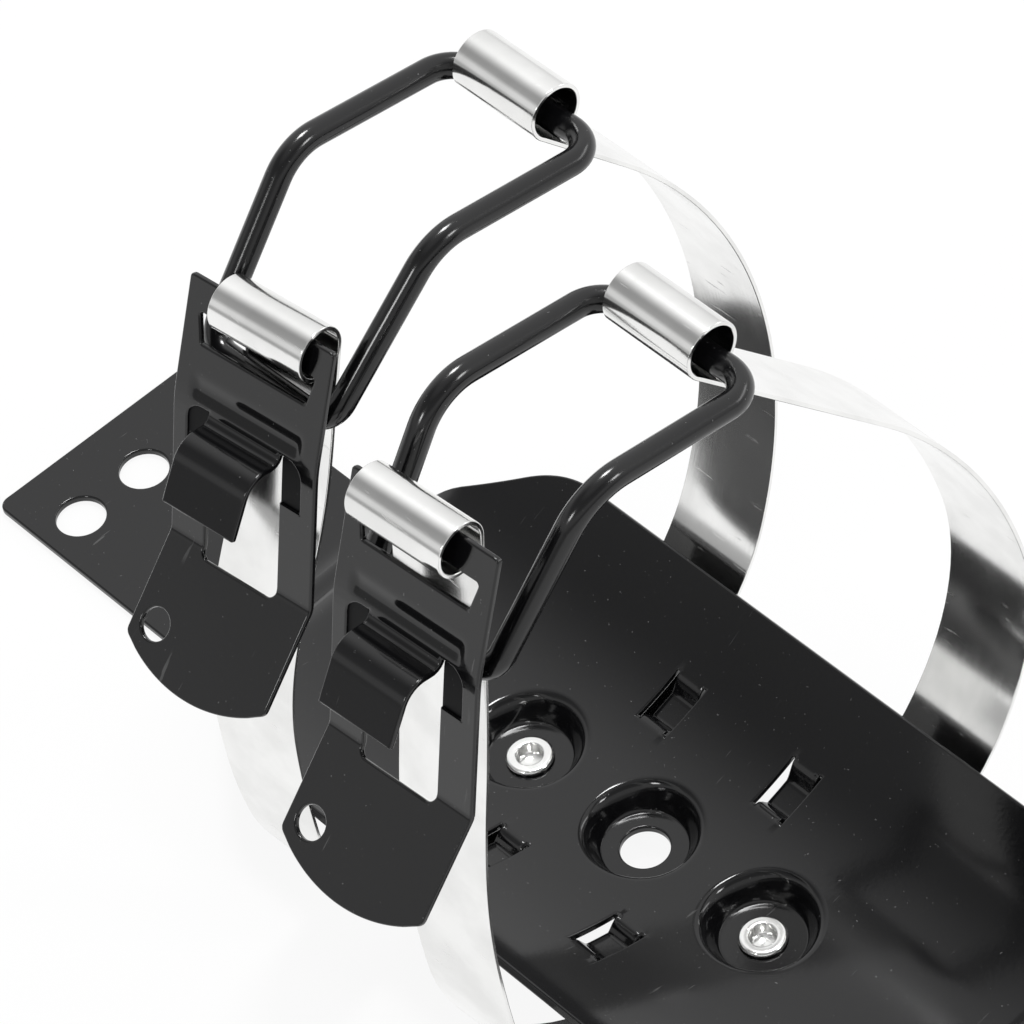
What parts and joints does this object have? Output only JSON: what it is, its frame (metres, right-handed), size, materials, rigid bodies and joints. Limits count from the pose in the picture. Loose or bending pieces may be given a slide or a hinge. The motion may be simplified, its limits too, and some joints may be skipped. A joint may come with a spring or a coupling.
{
  "type": "fire extinguisher wall bracket",
  "caption": "Black pressed-steel wall bracket with a trough cradle, riveted steel band clamps, folded over-centre latch levers and wire bails, for holding a cylinder.",
  "frame": {"origin": "on the wall plane, under the middle screw hole", "axes": "+X along the back plate, +Y across it away from the latch levers, +Z out from the wall"},
  "size_m": [0.398, 0.1888, 0.2179],
  "materials": {
    "black_paint": "gloss black paint",
    "black_wire_coating": "semi-gloss black coating",
    "bright_steel": "bright rolled steel"
  },
  "bodies": {
    "frame": {"back_plate": "black_paint", "strap_1": "bright_steel", "strap_2": "bright_steel", "rivet_1": "bright_steel", "rivet_2": "bright_steel"},
    "lever_1": {"lever_1": "black_paint"},
    "lever_2": {"lever_2": "black_paint"},
    "bail_1": {"bail_1": "black_wire_coating"},
    "bail_2": {"bail_2": "black_wire_coating"}
  },
  "joints": [
    {"name": "lever_1_hinge", "type": "hinge", "parent": "frame", "child": "lever_1", "pos_m": [-0.031, -0.04589, 0.1966], "axis": [-0.9945, -0.1045, 0], "range_deg": [0, 125]},
    {"name": "lever_2_hinge", "type": "hinge", "parent": "frame", "child": "lever_2", "pos_m": [0.041, -0.06866, 0.21149], "axis": [-0.9981, -0.0611, 0], "range_deg": [0, 150]},
    {"name": "bail_1_hinge", "type": "hinge", "parent": "frame", "child": "bail_1", "pos_m": [-0.0359, 0.02991, 0.20084], "axis": [-0.9994, -0.0349, 0], "range_deg": [0, 1]},
    {"name": "bail_2_hinge", "type": "hinge", "parent": "frame", "child": "bail_2", "pos_m": [0.0419, 0.00177, 0.2065], "axis": [-0.9994, -0.0349, 0], "range_deg": [0, 6]}
  ]
}
